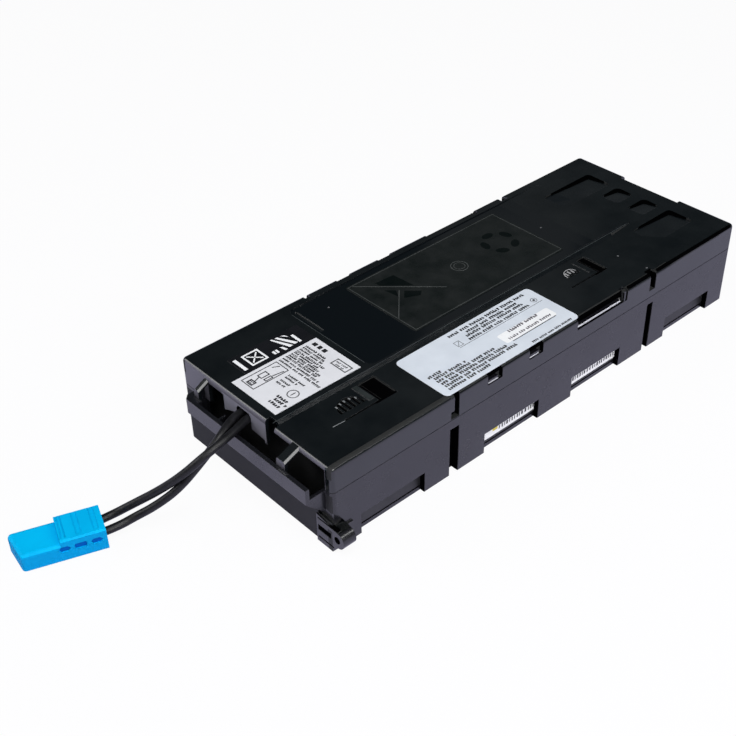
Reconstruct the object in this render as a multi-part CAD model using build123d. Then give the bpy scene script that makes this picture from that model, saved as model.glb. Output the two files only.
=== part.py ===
from build123d import *
import math
import os

# A battery cartridge for a rack power supply. Four sealed 12 V blocks lie on their sides in a
# row inside a moulded tray and cover, and two short leads end in a blue two-pole connector.
# The frame: X runs along the pack with the leads at -X, Z is up, and the origin is at the
# middle of the tray's underside. Everything is in millimetres.

# The battery blocks, from the usual 12 V 7 to 9 Ah size
battery_length = 151.0
battery_width = 65.0
battery_height = 94.0
tab_height = 6.5
tab_width = 6.3
tab_thickness = 0.8
tab_from_end = 17.5
tab_from_side = 14.0

# The moulded case
body_length = 425.0
body_width = 160.0
deck_z = 71.8
low_deck_z = 70.1
seam_z = 49.5
floor_thickness = 3.0
end_wall = 3.0
inner_width = 152.0
corner_radius = 3.4
edge_radius = 3.0
seam_break = 0.5
deck_underside = 69.6
low_deck_underside = 68.2
ridge_y = -21.0
ridge_run = 2.4
low_deck_end_x = 160.0

half_length = body_length / 2
half_width = body_width / 2
half_inner = inner_width / 2
battery_face_y = battery_length / 2
battery_top_z = floor_thickness + battery_width

# Each block: where its case starts along X, and whether its terminals look to +X
battery_starts = {1: -203.5, 2: -93.5, 3: 1.5, 4: 115.4}
faces_plus_x = {1: True, 2: False, 3: True, 4: False}
plus_side = {1: 1, 2: -1, 3: -1, 4: 1}
tabs_high = {1: True, 2: True, 3: False, 4: False}

# The flat straps over the blocks
strap_width = 6.6
strap_low_z = battery_top_z
strap_high_z = battery_top_z + 1.3
strap_lead_y = {"positive": (10.3, 16.9), "negative": (2.1, 8.7)}

# Upright grooves in the long walls, between the first two and the last two blocks
grooves = ((-107.5, -98.7, 42.0), (106.0, 113.0, 43.5))
groove_depth = 6.5
groove_liner = 1.8

# Windows at the foot of the long walls, one at each block
windows = ((-189.0, -131.0), (-72.5, -15.5), (21.0, 77.0), (133.0, 190.0))
window_top_z = 18.0

# Notches along both top edges, where tongues of the tray hook into the cover
snap_notches = ((-71.5, -57.0), (-29.5, -15.2), (22.0, 74.5))
notch_floor_z = 61.0
notch_depth = 3.2
hook_z = (62.4, 64.3)
tongue_outer = 78.4
post_x, post_y = 76.0, 77.6

# Finger latches: middle of the grip, its radius, its number of ribs, and the pocket's ends
latches = ((-161.0, 10.8, 5, (-143.4, -128.4)), (65.4, 7.0, 4, (81.2, 90.4)))

# The cable trough that stands out from the end at -X
trough_reach = 16.0
trough_top_z = 58.5
trough_low_z = 46.5
trough_wall = 3.2
trough_plate = 2.5
trough_y = (-73.5, 57.0)

# The two arms of the cover over the trough: their limits across, and their reach
snap_arms = (((48.4, 53.6), 9.0), ((-49.2, -40.4), 12.3))
arm_edge = 1.3

# The mouth above the trough, the skirt that hangs in it, and the notch in the deck's edge
mouth_top_z = 66.5
skirt_outline = [
    (31.5, 67.5),
    (31.5, 53.6),
    (17.2, 59.4),
    (17.2, 63.4),
    (15.4, 66.2),
    (3.4, 66.2),
    (1.6, 63.4),
    (1.6, 54.0),
    (-12.6, 53.2),
    (-12.6, 67.5),
]
skirt_post_y = (-14.3, -12.2)
deck_notch_y = (-23.6, -14.3)
deck_notch_run = 4.9

# The leads: where they pass the end wall, and their thickness
lead_diameter = 5.8
exit_z = 61.2
lead_start_x = -205.0

# The routes of the two leads from the end of the inner straps to the connector
negative_route = [
    (-205.0, 5.4, 61.2),
    (-213.4, 5.4, 61.2),
    (-225.5, 0.5, 61.9),
    (-239.2, -2.6, 61.4),
    (-255.0, 0.6, 54.9),
    (-267.0, 7.4, 41.2),
    (-278.0, 21.3, 26.6),
    (-291.1, 35.4, 13.8),
]
positive_route = [
    (-205.0, 13.6, 61.2),
    (-213.2, 13.6, 61.2),
    (-224.6, 9.0, 62.5),
    (-236.4, 3.6, 60.3),
    (-251.6, 3.8, 49.8),
    (-268.9, 14.4, 25.6),
    (-281.0, 20.5, 16.5),
    (-295.6, 25.8, 11.2),
]

# The connector lies on the surface that the pack stands on, turned a little
connector_corner = (-371.1, 43.2)
connector_angle = -20.0
connector_length = 56.0
connector_width = 26.0
nose_skew = 5.5
nose_height = 13.2
block_height = 17.0
block_start = 26.0
cavity_depth = 18.0
cavity_opening = (3.2, 7.0)
nose_corner_radius = 3.0
nose_edge_radius = 3.0
block_grooves = ((1.0, 2.3), (3.4, 4.4), (11.1, 14.8), (22.5, 26.1))
key_slots = ((28.0, 2.0), (38.6, 0.7), (49.0, 2.0))
key_slot_z = 9.4
pole_v = {"positive": 7.7, "negative": 19.7}
pole_z = 8.0

# Labels
label_thickness = 0.3


def slab(x, y, z):
    """A plain block between two limits along each axis."""
    size = (x[1] - x[0], y[1] - y[0], z[1] - z[0])
    middle = ((x[0] + x[1]) / 2, (y[0] + y[1]) / 2, (z[0] + z[1]) / 2)
    return Pos(*middle) * Box(*size)


def prism_xz(points, y):
    """A profile in the X-Z plane, drawn along Y between two limits."""
    face = make_face(Polyline(*[(px, y[0], pz) for px, pz in points], close=True))
    return extrude(face, amount=y[1] - y[0], dir=(0, 1, 0))


def prism_yz(points, x):
    """A profile in the Y-Z plane, drawn along X between two limits."""
    face = make_face(Polyline(*[(x[0], py, pz) for py, pz in points], close=True))
    return extrude(face, amount=x[1] - x[0], dir=(1, 0, 0))


def rounded_plan(x, y, z, radius):
    """A rounded rectangle in plan, between two heights."""
    middle = ((x[0] + x[1]) / 2, (y[0] + y[1]) / 2, z[0])
    flat = Pos(*middle) * RectangleRounded(x[1] - x[0], y[1] - y[0], radius)
    return extrude(flat, amount=z[1] - z[0])


def edges_at(solid, **wanted):
    """The straight edges whose middle has the given coordinates."""
    found = []
    for edge in solid.edges():
        middle = edge.center()
        if all(abs(getattr(middle, axis.upper()) - at) < 0.05 for axis, at in wanted.items()):
            found.append(edge)
    return found


def corner_lug():
    """The ear at the bottom corner beside the trough, with three slots and an eye."""
    outline = [(-64.0, 0.0), (-64.0, 24.0), (-85.0, 20.2), (-85.0, 7.0), (-79.5, 0.0)]
    body = prism_yz(outline, (-213.7, -203.0))
    round_end = Pos(-208.35, -84.4, 13.6) * Rot(0, 90, 0) * Cylinder(6.6, 10.7)
    web = prism_yz([(-78.0, 1.0), (-78.0, 20.0), (-81.4, 18.4), (-81.4, 4.0)], (-203.0, -197.0))
    lug = body + round_end + web
    lug -= slab((-half_length + end_wall, -190), (-half_inner, -60), (floor_thickness, 40))
    for low, high, end in ((20.4, 21.8, -84.5), (10.4, 15.4, -78.4), (3.6, 5.2, -81.0)):
        lug -= slab((-214, -210.6), (end, -65.4), (low, high))
    return lug


def lower_tray():
    """The tray: floor, walls up to the parting line, trough, grooves, windows and corner lug."""
    tray = slab((-half_length, half_length), (-half_width, half_width), (0, seam_z))
    tray = fillet(tray.edges().filter_by(Axis.Z), corner_radius)
    tray = chamfer(tray.faces().sort_by(Axis.Z)[0].edges(), 0.7)
    inner_x = half_length - end_wall
    tray -= slab((-inner_x, inner_x), (-half_inner, half_inner), (floor_thickness, seam_z + 1))
    tray += trough()
    tray -= trough_hollow()
    tray += corner_lug()
    tray -= Pos(-208.35, -84.4, 13.6) * Rot(0, 90, 0) * Cylinder(2.7, 14)
    tray -= prism_yz(
        [(-65.0, 24.1), (-65.0, 28.5), (-67.5, 32.0), (-72.0, 33.6), (-81.0, 31.0), (-81.0, 23.4)],
        (-213.0, -210.4),
    )
    tray -= prism_xz([(-213.0, 21.4), (-203.0, 21.4), (-208.4, 29.6), (-213.0, 33.0)], (-80.5, -78.2))
    for side in (-1, 1):
        for start, end, top in grooves:
            reach = half_width - groove_depth
            across = sorted((side * reach, side * (half_width + 1)))
            liner = sorted((side * (reach - groove_liner), side * half_inner))
            run = (start - groove_liner, end + groove_liner)
            tray += slab(run, liner, (floor_thickness, seam_z))
            tray -= slab((start, end), across, (-1, top))
        for start, end in windows:
            across = sorted((side * (battery_face_y + 0.1), side * (half_width + 1)))
            tray -= slab((start, end), across, (-1, window_top_z))
        for start, end in snap_notches:
            tray += snap_tongue(start, end, side)
    for start, end, top in grooves:
        for at in (start - groove_liner, end):
            rib = (at, at + groove_liner)
            tray += slab(rib, (-half_inner, half_inner), (floor_thickness, floor_thickness + 9))
    return tray


def trough():
    """The outer form of the cable trough, with a ledge at its +Y end and a catch at the other."""
    out_x = -half_length - trough_reach
    low = trough_low_z - trough_reach
    outline = [
        (-half_length + 1.5, low),
        (-half_length, low),
        (out_x, trough_low_z),
        (out_x, trough_top_z),
        (-half_length + 1.5, trough_top_z),
    ]
    form = prism_xz(outline, trough_y)
    form = chamfer(edges_at(form, x=out_x, y=trough_y[1]), 3.5)
    catch = prism_xz(
        [
            (out_x + 0.4, trough_top_z - 0.5),
            (out_x + 2.6, trough_top_z - 0.5),
            (out_x + 2.6, trough_top_z + 0.6),
            (out_x + 1.2, trough_top_z + 0.6),
        ],
        (-54.0, -46.0),
    )
    return form + catch


def trough_hollow():
    """What is taken out of the trough and the end wall so that the leads can pass."""
    in_x = -half_length - trough_reach + trough_wall
    drop = trough_plate * math.sqrt(2)
    low = trough_low_z - trough_wall + drop
    inside = (trough_y[0] + trough_plate, trough_y[1] - trough_plate)
    back_x = -half_length + end_wall + 1
    outline = [
        (in_x, low),
        (in_x, trough_top_z + 1),
        (back_x, trough_top_z + 1),
        (back_x, low - (back_x - in_x)),
    ]
    hollow = prism_xz(outline, inside)
    hollow -= slab((in_x - 1, in_x + 3.2), (44.0, 58.0), (low - 4, trough_top_z + 1))
    hollow -= slab((in_x - 1, in_x + 6.0), (20.2, 21.4), (low - 6, trough_top_z + 1))
    above = slab((-half_length - 14, -half_length + 2), (trough_y[0] - 1, inside[0]), (seam_z, 60))
    above = above - slab((-half_length - 20, in_x), (-80, 0), (0, 80))
    over_ends = slab((-half_length, -half_length + 2), (trough_y[0] - 1, trough_y[1] + 1), (seam_z, 60))
    return hollow + above + over_ends


def top_cover():
    """The cover: two decks with a ridge between them, skirts, notches, pockets and catches."""
    cover = slab((-half_length, half_length), (-half_width, half_width), (seam_z, deck_z))
    cover = fillet(cover.edges().filter_by(Axis.Z), corner_radius)
    cover = chamfer(cover.faces().sort_by(Axis.Z)[0].edges(), seam_break)
    cover -= low_deck_cut()
    cover = fillet(rim_edges(cover), edge_radius)
    cover -= panel_recess()
    inner_x = half_length - end_wall
    cover -= slab((-inner_x, inner_x), (-half_inner, half_inner), (seam_z - 1, low_deck_underside))
    cover -= slab(
        (-inner_x, 126.0), (ridge_y + 2, half_inner), (low_deck_underside - 1, deck_underside)
    )
    cover -= end_opening()
    for side in (-1, 1):
        cover -= side_notches(side)
        cover += post(side)
    cover -= slab((207.0, 214.0), (-28.0, 30.0), (low_deck_underside - 8, deck_z + 1))
    for pocket in far_pockets():
        cover -= pocket
    for latch in latches:
        cover -= latch_cut(*latch)
        cover += latch_ribs(*latch)
    for arm_y, reach in snap_arms:
        cover += snap_arm(arm_y, reach)
    return cover


def rim_edges(cover):
    """The edges all round the two decks, where they meet the upright walls."""
    found = []
    for edge in cover.edges():
        ends = [edge @ 0, edge @ 0.5, edge @ 1]
        outer = all(
            abs(at.X) > half_length - corner_radius or abs(at.Y) > half_width - corner_radius
            for at in ends
        )
        if outer and min(at.Z for at in ends) > low_deck_z - 0.1:
            found.append(edge)
    return found


def low_deck_cut():
    """The side of the top towards -Y, a step lower, running out before the far end."""
    top = deck_z + 1
    run = (-half_length - 1, low_deck_end_x)
    step = prism_yz(
        [(ridge_y, top), (ridge_y, deck_z), (ridge_y - ridge_run, low_deck_z), (-82, low_deck_z), (-82, top)],
        run,
    )
    ramp = prism_xz(
        [
            (run[0], low_deck_z),
            (122.0, low_deck_z),
            (run[1], deck_z),
            (run[1], top),
            (run[0], top),
        ],
        (-82, ridge_y),
    )
    return step & ramp


def panel_recess():
    """A shallow panel in the higher deck, with a slot along its end towards the leads."""
    plan = rounded_plan((-124.0, 150.0), (-19.0, 72.0), (deck_z - 0.8, deck_z + 1), 6.0)
    ramp = prism_xz(
        [(-125, deck_z - 0.8), (100, deck_z - 0.8), (150, deck_z), (150, deck_z + 1), (-125, deck_z + 1)],
        (-20, 73),
    )
    slot = rounded_plan((-121.5, -118.7), (36.0, 68.0), (deck_z - 1.5, deck_z), 1.2)
    return (plan & ramp) + slot


def end_opening():
    """The mouth over the trough, around a skirt with a cable arch and a small post."""
    x = (-half_length - 1, -half_length + end_wall + 1)
    mouth = slab(x, (-73.5, 49.0), (seam_z - 1, mouth_top_z))
    skirt = prism_yz(skirt_outline, x)
    post = slab(x, skirt_post_y, (50.6, mouth_top_z))
    corner = slab((x[0], -half_length + deck_notch_run), deck_notch_y, (mouth_top_z - 1, deck_z + 1))
    return mouth - (skirt + post) + corner


def side_notches(side):
    """Grooves and notches along one long wall of the cover."""

    def through(x, z, depth):
        across = sorted((side * (half_width - depth), side * (half_width + 1)))
        return slab(x, across, z)

    wall = half_width - battery_face_y - 0.1
    cuts = through((-106.7, -99.0), (50.5, 56.8), wall)
    cuts += through((-103.6, -99.0), (56.8, deck_z + 1), wall)
    cuts += through((106.0, 113.0), (56.0, deck_z + 1), groove_depth)
    for start, end in snap_notches:
        cuts += through((start, end), (notch_floor_z, deck_z + 1), notch_depth)
        slot = sorted((side * (half_inner - 0.1), side * (tongue_outer + 0.2)))
        cuts += slab((start + 0.9, end - 3.6), slot, (seam_z - 1, hook_z[1] + 0.5))
    cuts += Pos(post_x, side * post_y, notch_floor_z + 6) * Cylinder(3.5, 12.0)
    return cuts


def post(side):
    """The round post at the end of the longest notch."""
    low, high = notch_floor_z - 0.5, deck_z - 2.2
    return Pos(post_x, side * (post_y + 0.3), (low + high) / 2) * Cylinder(1.9, high - low)


def snap_tongue(start, end, side):
    """A tongue of the tray that hooks into one notch of the cover."""
    x = (start + 1.3, end - 4.0)
    upright = sorted((side * (half_inner + 0.3), side * tongue_outer))
    nose = sorted((side * tongue_outer, side * (half_width - 0.7)))
    stem = slab(x, upright, (seam_z - 0.5, hook_z[1]))
    return stem + slab(x, nose, hook_z)


def tilted_pocket(x, y, radius, depth):
    """A shallow scoop: deep at its +X and +Y walls, running out to nothing the other way."""
    plan = rounded_plan(x, y, (deck_z - 4, deck_z + 2), radius)
    wide, long = y[1] - y[0], x[1] - x[0]
    corner = (x[1], y[1], deck_z - depth)
    normal = Vector(depth / (2 * long), depth / (2 * wide), 1.0)
    plane = Plane(origin=corner, z_dir=normal.normalized())
    above = plane * Pos(0, 0, 10) * Box(400, 400, 20)
    return plan & above


def far_pockets():
    """Four scoops at the end away from the leads."""
    return [
        tilted_pocket((135.0, 192.0), (30.0, 53.5), 3.0, 2.3),
        tilted_pocket((171.0, 191.5), (5.0, 21.5), 4.0, 2.1),
        tilted_pocket((171.0, 192.0), (-21.0, -5.5), 4.0, 2.1),
        tilted_pocket((146.0, 192.5), (-54.0, -30.5), 3.0, 2.3),
    ]


def latch_cut(grip_x, radius, teeth, pocket):
    """The recess of one finger latch: a D-shaped grip, a slot beside it and a framed pocket."""
    centre_y = -31.4 - radius
    grip = Pos(grip_x, centre_y, low_deck_z - 0.6) * Cylinder(radius, 1.4)
    grip &= slab((grip_x - radius, grip_x + radius), (max(-46.0, centre_y - 1), -30), (60, 80))
    thin = slab((pocket[0] - 30.5, pocket[1]), (-50.0, -48.6), (65, 75))
    wide = slab((pocket[0] - 4.0, pocket[1]), (-50.9, -48.4), (65, 75))
    frame = rounded_plan(pocket, (-48.6, -26.6), (low_deck_z - 1.1, 75), 0.8)
    gaps = slab((pocket[0] + 0.4, pocket[0] + 2.6), (-48.4, -27.2), (65, 75))
    gaps += slab((pocket[1] - 1.6, pocket[1] - 0.4), (-48.4, -27.2), (65, 75))
    return grip + thin + wide + frame + gaps


def latch_ribs(grip_x, radius, teeth, pocket):
    """Fine ribs across the grip and the raised bar beside the pocket."""
    centre_y = -31.4 - radius
    bar = slab((pocket[0] - 5.4, pocket[0] - 0.8), (-45.2, -27.0), (low_deck_z - 0.6, low_deck_z + 0.5))
    ribs = bar
    pitch = 2 * radius / (teeth + 0.6)
    for step in range(teeth):
        offset = pitch * (step - (teeth - 1) / 2)
        top = centre_y + math.sqrt(radius**2 - (abs(offset) + 0.75) ** 2) - 0.5
        bottom = max(-45.8, centre_y - 0.8)
        ribs += slab(
            (grip_x + offset - 0.75, grip_x + offset + 0.75),
            (bottom, top),
            (low_deck_z - 1.6, low_deck_z + 0.1),
        )
    return ribs


def snap_arm(across, reach):
    """An arm from the cover's lip that reaches over the trough and turns down beside its wall."""
    root_x = -half_length + 1.0
    tip_x = -half_length - reach
    outline = [
        (root_x, 69.4),
        (tip_x, 64.0),
        (tip_x, 54.0),
        (tip_x + 2.2, 54.0),
        (tip_x + 2.2, 61.6),
        (root_x, 66.6),
    ]
    arm = prism_xz(outline, across)
    slope = (root_x + tip_x) / 2, (outline[0][1] + outline[1][1]) / 2
    arm = chamfer(edges_at(arm, x=slope[0], z=slope[1]), arm_edge)
    tongue = Pos(tip_x + 1.1, (across[0] + across[1]) / 2, 60.0) * Rot(0, 90, 0)
    return arm & (slab((tip_x - 1, root_x + 1), across, (57.0, 70)) + tongue * Cylinder(6.2, 40))


def battery(number):
    """One sealed block lying on its side: its long edges broken, and the joint of its lid."""
    start = battery_starts[number]
    low, high = start, start + battery_height
    case = slab((low, high), (-battery_face_y, battery_face_y), (floor_thickness, battery_top_z))
    case = chamfer(case.edges().filter_by(Axis.X), 1.4)
    lid_x = high - 13.0 if faces_plus_x[number] else low + 12.0
    shell = slab((lid_x, lid_x + 1.0), (-80, 80), (0, 80))
    core = slab(
        (lid_x - 1, lid_x + 2),
        (-battery_face_y + 0.7, battery_face_y - 0.7),
        (floor_thickness + 0.7, battery_top_z - 0.7),
    )
    return case - (shell - core)


def tab_place(number, pole):
    """Where a terminal tab stands: the face it leaves, its direction along X, and its Y and Z."""
    outward = 1 if faces_plus_x[number] else -1
    face = battery_starts[number] + (battery_height if outward > 0 else 0)
    side = plus_side[number] if pole == "positive" else -plus_side[number]
    y = side * (battery_face_y - tab_from_end)
    z = battery_top_z - tab_from_side if tabs_high[number] else floor_thickness + tab_from_side
    return face, outward, y, z


def terminal_tab(number, pole):
    """A flat blade that stands out of the battery's lid."""
    face, outward, y, z = tab_place(number, pole)
    x = sorted((face, face + outward * tab_height))
    return slab(x, (y - tab_width / 2, y + tab_width / 2), (z - tab_thickness / 2, z + tab_thickness / 2))


def receptacle(number, pole):
    """The insulated push-on socket on a terminal tab."""
    face, outward, y, z = tab_place(number, pole)
    x = sorted((face + outward * 0.4, face + outward * 7.1))
    body = slab(x, (y - 4.3, y + 4.3), (z - 1.9, z + 1.9))
    body = chamfer(body.edges().filter_by(Axis.X), 0.8)
    mouth = sorted((face, face + outward * (tab_height + 0.1)))
    return body - slab(mouth, (y - tab_width / 2 - 0.15, y + tab_width / 2 + 0.15), (z - 0.55, z + 0.55))


def jumper_1_2():
    """The short bar from the first block's plus socket to the second block's minus socket."""
    z = battery_top_z - tab_from_side + 1.9
    y = battery_face_y - tab_from_end
    return slab((-108.9, -94.1), (y - 3.3, y + 3.3), (z, z + 1.2))


def jumper_3_4():
    """The short bar from the third block's plus socket to the fourth block's minus socket."""
    z = floor_thickness + tab_from_side + 1.9
    y = battery_face_y - tab_from_end
    return slab((96.1, 114.8), (-y - 3.3, -y + 3.3), (z, z + 1.2))


def jumper_2_3():
    """The long strap from the second block's plus socket, over two blocks, to the third's minus."""
    socket_y = battery_face_y - tab_from_end
    low = battery_top_z - tab_from_side + 1.9
    over = (36.0, 36.0 + strap_width)
    first = (-96.2, -95.0)
    last = (97.0, 98.2)
    far_z = floor_thickness + tab_from_side + 1.9
    strap = slab((-100.4, first[1]), (-socket_y - 3.3, -socket_y + 3.3), (low, low + 1.2))
    strap += slab(first, (-socket_y - 3.3, over[1]), (low, low + strap_width))
    strap += slab(first, over, (low, strap_high_z))
    strap += slab((first[0], last[1]), over, (strap_low_z, strap_high_z))
    strap += slab(last, over, (far_z, strap_high_z))
    strap += slab(last, (over[0], socket_y + 3.3), (far_z, far_z + strap_width))
    strap += slab((last[0], 102.2), (socket_y - 3.3, socket_y + 3.3), (far_z, far_z + 1.2))
    return strap


def inner_strap(pole):
    """The strap from an outer socket of the row to the end where that lead starts."""
    over = strap_lead_y[pole]
    socket_y = battery_face_y - tab_from_end
    if pole == "negative":
        side, low, riser = -1, battery_top_z - tab_from_side + 1.9, (-108.3, -107.1)
        foot = (riser[0], -102.6)
    else:
        side, low, riser = 1, floor_thickness + tab_from_side + 1.9, (112.6, 113.8)
        foot = (108.6, riser[1])
    y = side * socket_y
    across = (min(y - 3.3, over[0]), max(y + 3.3, over[1]))
    strap = slab(foot, (y - 3.3, y + 3.3), (low, low + 1.2))
    strap += slab(riser, across, (low, low + strap_width))
    strap += slab(riser, over, (low, strap_high_z))
    front = lead_start_x
    strap += slab((front, riser[1]), over, (strap_low_z, strap_high_z))
    strap += slab((front, battery_starts[1]), over, (exit_z - 4.0, strap_high_z))
    return strap


def route_radii(points):
    """For each corner: 0.45 of the shorter run over the tangent of half the turn."""
    radii = []
    for before, at, after in zip(points, points[1:], points[2:]):
        first, second = Vector(*at) - Vector(*before), Vector(*after) - Vector(*at)
        half_turn = math.radians(first.get_angle(second)) / 2
        radii.append(0.45 * min(first.length, second.length) / math.tan(half_turn))
    return radii


def pole_entry(pole, before):
    """A point on the axis of one pole, some way before the connector's rear face."""
    plane = connector_plane()
    at = plane.from_local_coords(Vector(connector_length + before, pole_v[pole], pole_z))
    return (at.X, at.Y, at.Z)


def lead(name, route, pole, last_run):
    """One lead: a round tube along straight runs joined by tangent arcs."""
    points = [*route, pole_entry(pole, last_run), pole_entry(pole, 0.0)]
    print(name, "ends at", [[round(c, 3) for c in at] for at in points[-2:]])
    radii = route_radii(points)
    path = FilletPolyline(*points, radius=radii)
    section = Plane(origin=path @ 0, z_dir=path % 0) * Circle(lead_diameter / 2)
    tube = sweep(section, path=path)
    area = math.pi * lead_diameter**2 / 4
    print(name, "radii", [round(r, 1) for r in radii])
    print(name, "length", round(path.length, 1), "volume ratio", round(tube.volume / (area * path.length), 4))
    return tube


def connector_plane():
    """The connector's own frame: u towards the leads, v across, on the ground."""
    return Plane(origin=(*connector_corner, 0)).rotated((0, 0, connector_angle))


def connector_housing():
    """The blue housing: a rounded nose with a slanted front, a ribbed block and key slots."""
    length, width = connector_length, connector_width
    plan = make_face(Polyline((0, 0), (length, 0), (length, width), (-nose_skew, width), close=True))
    nose = extrude(plan, amount=nose_height)
    front = nose.faces().sort_by(Axis.X)[0]
    nose = fillet(front.edges().filter_by(Axis.Z), nose_corner_radius)
    top = nose.faces().sort_by(Axis.Z)[-1]
    near = [e for e in top.edges() if abs(e.center().Y) < 0.01 or e.center().X < 4]
    nose = fillet(near, nose_edge_radius)
    block = slab((block_start, length), (0, width), (0, block_height))
    block = chamfer(block.faces().sort_by(Axis.Z)[-1].edges().filter_by(Axis.X), 1.2)
    housing = nose + block
    for start, end in block_grooves:
        place = (block_start + start, block_start + end)
        housing -= slab(place, (3.0, width + 1), (block_height - 0.7, block_height + 1))
    for middle, lean in key_slots:
        half, rise = 4.2, 2.3
        outline = [
            (middle - half, key_slot_z),
            (middle - half + lean, key_slot_z + rise),
            (middle + half - lean, key_slot_z + rise),
            (middle + half, key_slot_z),
            (middle + half - lean, key_slot_z - rise),
            (middle - half + lean, key_slot_z - rise),
        ]
        housing -= prism_xz(outline, (-1, 1.8))
        housing -= prism_xz(outline, (width - 1.8, width + 1))
    for pole_y in pole_v.values():
        high, wide = cavity_opening
        housing -= slab(
            (-10, cavity_depth),
            (pole_y - wide / 2, pole_y + wide / 2),
            (pole_z - high / 2, pole_z + high / 2),
        )
    return connector_plane() * housing


def connector_contact(pole):
    """A flat contact blade in its cavity, standing on the cavity's back wall."""
    middle = pole_v[pole]
    blade = slab((4.0, cavity_depth), (middle - 3.1, middle + 3.1), (pole_z - 0.8, pole_z + 0.8))
    return connector_plane() * blade


def deck_label(x, y, z, radius):
    """A thin sticker on one of the decks."""
    return rounded_plan(x, y, (z, z + label_thickness), radius)


def battery_label(number):
    """The paper label on the end face of one block."""
    side = -1 if number in (2, 3) else 1
    start = battery_starts[number] + 13.5
    across = sorted((side * battery_face_y, side * (battery_face_y + 0.1)))
    if not faces_plus_x[number]:
        return slab((start + 1, start + 78), across, (6.4, 62.5))
    return slab((start - 10, start + 66), across, (6.4, 62.5))


def write(name, shape):
    """Write one node's solid to its own file."""
    solids = shape.solids()
    part = solids[0] if len(solids) == 1 else Compound(solids)
    export_step(part, os.path.join("parts", name + ".step"))


def main():
    os.makedirs("parts", exist_ok=True)
    write("lower_tray", lower_tray())
    write("top_cover", top_cover())
    for number in battery_starts:
        write(f"battery_{number}", battery(number))
        write(f"battery_{number}_label", battery_label(number))
        for pole in ("positive", "negative"):
            write(f"battery_{number}_tab_{pole}", terminal_tab(number, pole))
            write(f"battery_{number}_socket_{pole}", receptacle(number, pole))
    write("jumper_1_2", jumper_1_2())
    write("jumper_2_3", jumper_2_3())
    write("jumper_3_4", jumper_3_4())
    write("strap_positive", inner_strap("positive"))
    write("strap_negative", inner_strap("negative"))
    write("lead_positive", lead("lead_positive", positive_route, "positive", 9.0))
    write("lead_negative", lead("lead_negative", negative_route, "negative", 9.9))
    write("connector_housing", connector_housing())
    write("connector_contact_positive", connector_contact("positive"))
    write("connector_contact_negative", connector_contact("negative"))
    on_deck = (deck_z, deck_z + label_thickness)
    write("wiring_label", slab((-204.5, -130.0), (-15.5, 32.0), on_deck))
    write("disposal_label", slab((-192.0, -130.0), (32.2, 54.0), on_deck))
    write("info_label", deck_label((-109.0, 26.0), (-78.0, -26.5), low_deck_z, 4.0))
    write("panel_sticker", deck_label((-73.0, 86.5), (-10.5, 66.0), deck_z - 0.8, 2.0))


main()
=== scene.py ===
import math
import random

import bmesh
import bpy
from mathutils import Matrix, Vector

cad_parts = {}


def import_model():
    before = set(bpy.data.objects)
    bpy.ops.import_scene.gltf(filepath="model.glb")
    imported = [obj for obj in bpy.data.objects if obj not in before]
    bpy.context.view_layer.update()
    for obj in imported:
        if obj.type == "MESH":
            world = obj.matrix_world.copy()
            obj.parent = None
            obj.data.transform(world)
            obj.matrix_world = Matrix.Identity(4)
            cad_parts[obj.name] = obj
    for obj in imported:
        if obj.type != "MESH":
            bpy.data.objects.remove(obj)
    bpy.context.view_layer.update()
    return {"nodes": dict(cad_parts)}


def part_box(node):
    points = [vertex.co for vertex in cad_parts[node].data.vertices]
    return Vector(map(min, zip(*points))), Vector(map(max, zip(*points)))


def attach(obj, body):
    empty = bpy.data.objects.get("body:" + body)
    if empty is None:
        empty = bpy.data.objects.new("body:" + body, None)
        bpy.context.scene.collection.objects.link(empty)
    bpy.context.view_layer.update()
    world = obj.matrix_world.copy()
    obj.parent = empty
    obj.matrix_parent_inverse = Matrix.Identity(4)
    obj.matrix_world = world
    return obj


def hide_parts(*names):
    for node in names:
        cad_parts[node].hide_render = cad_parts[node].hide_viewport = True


# The battery cartridge with its finishes, leads, print and studio. Places and sizes are in mm where
# no line says metres. X runs along the case from the leads at -X, Y runs across it with the
# photographed long wall at -Y, and Z is the height over the floor.
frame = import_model()
nodes = frame["nodes"]
MM = 0.001

# Heights of the cover's decks, and of the labels that lie on them.
DECK_Z = 71.8
LOW_DECK_Z = 70.1
PANEL_Z = 71.0
LABEL_THICKNESS = 0.3
WIRING_TOP = DECK_Z + LABEL_THICKNESS
INFO_TOP = LOW_DECK_Z + LABEL_THICKNESS
STICKER_TOP = PANEL_Z + LABEL_THICKNESS

# The long walls at -Y and +Y, and what both hold, as spans along X.
SIDES = ((-1, "near"), (1, "far"))
NOTCHES = ((-71.5, -57.0), (-29.5, -15.2), (22.0, 74.5))
FAR_GROOVE = (106.0, 113.0)
WINDOW_ENDS = (-131.0, -15.5, 77.0, 190.0)
BLOCK_LABEL_Y = 75.6

# The deck's long edges are rounded with this radius about this line in Y and Z.
EDGE_RADIUS = 3.0
EDGE_Y, EDGE_Z = 77.0, 68.8

# Each latch's pocket as a span along X, and its half-round grip as its middle and its radius.
POCKETS = ((-143.4, -128.4), (81.2, 90.4))
GRIPS = ((-161.0, 10.8), (65.4, 7.0))
POCKET_Y = (-48.3, -27.3)

# Each scoop's spans along X and Y, the radius of its far corner and its mean depth.
SCOOPS = (
    ((135.0, 192.0), (30.0, 53.5), 3.0, 2.3),
    ((171.0, 191.5), (5.0, 21.5), 4.0, 2.1),
    ((171.0, 192.0), (-21.0, -5.5), 4.0, 2.1),
    ((146.0, 192.5), (-54.0, -30.5), 3.0, 2.3),
)

LEAD_RADIUS = 2.9


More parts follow.
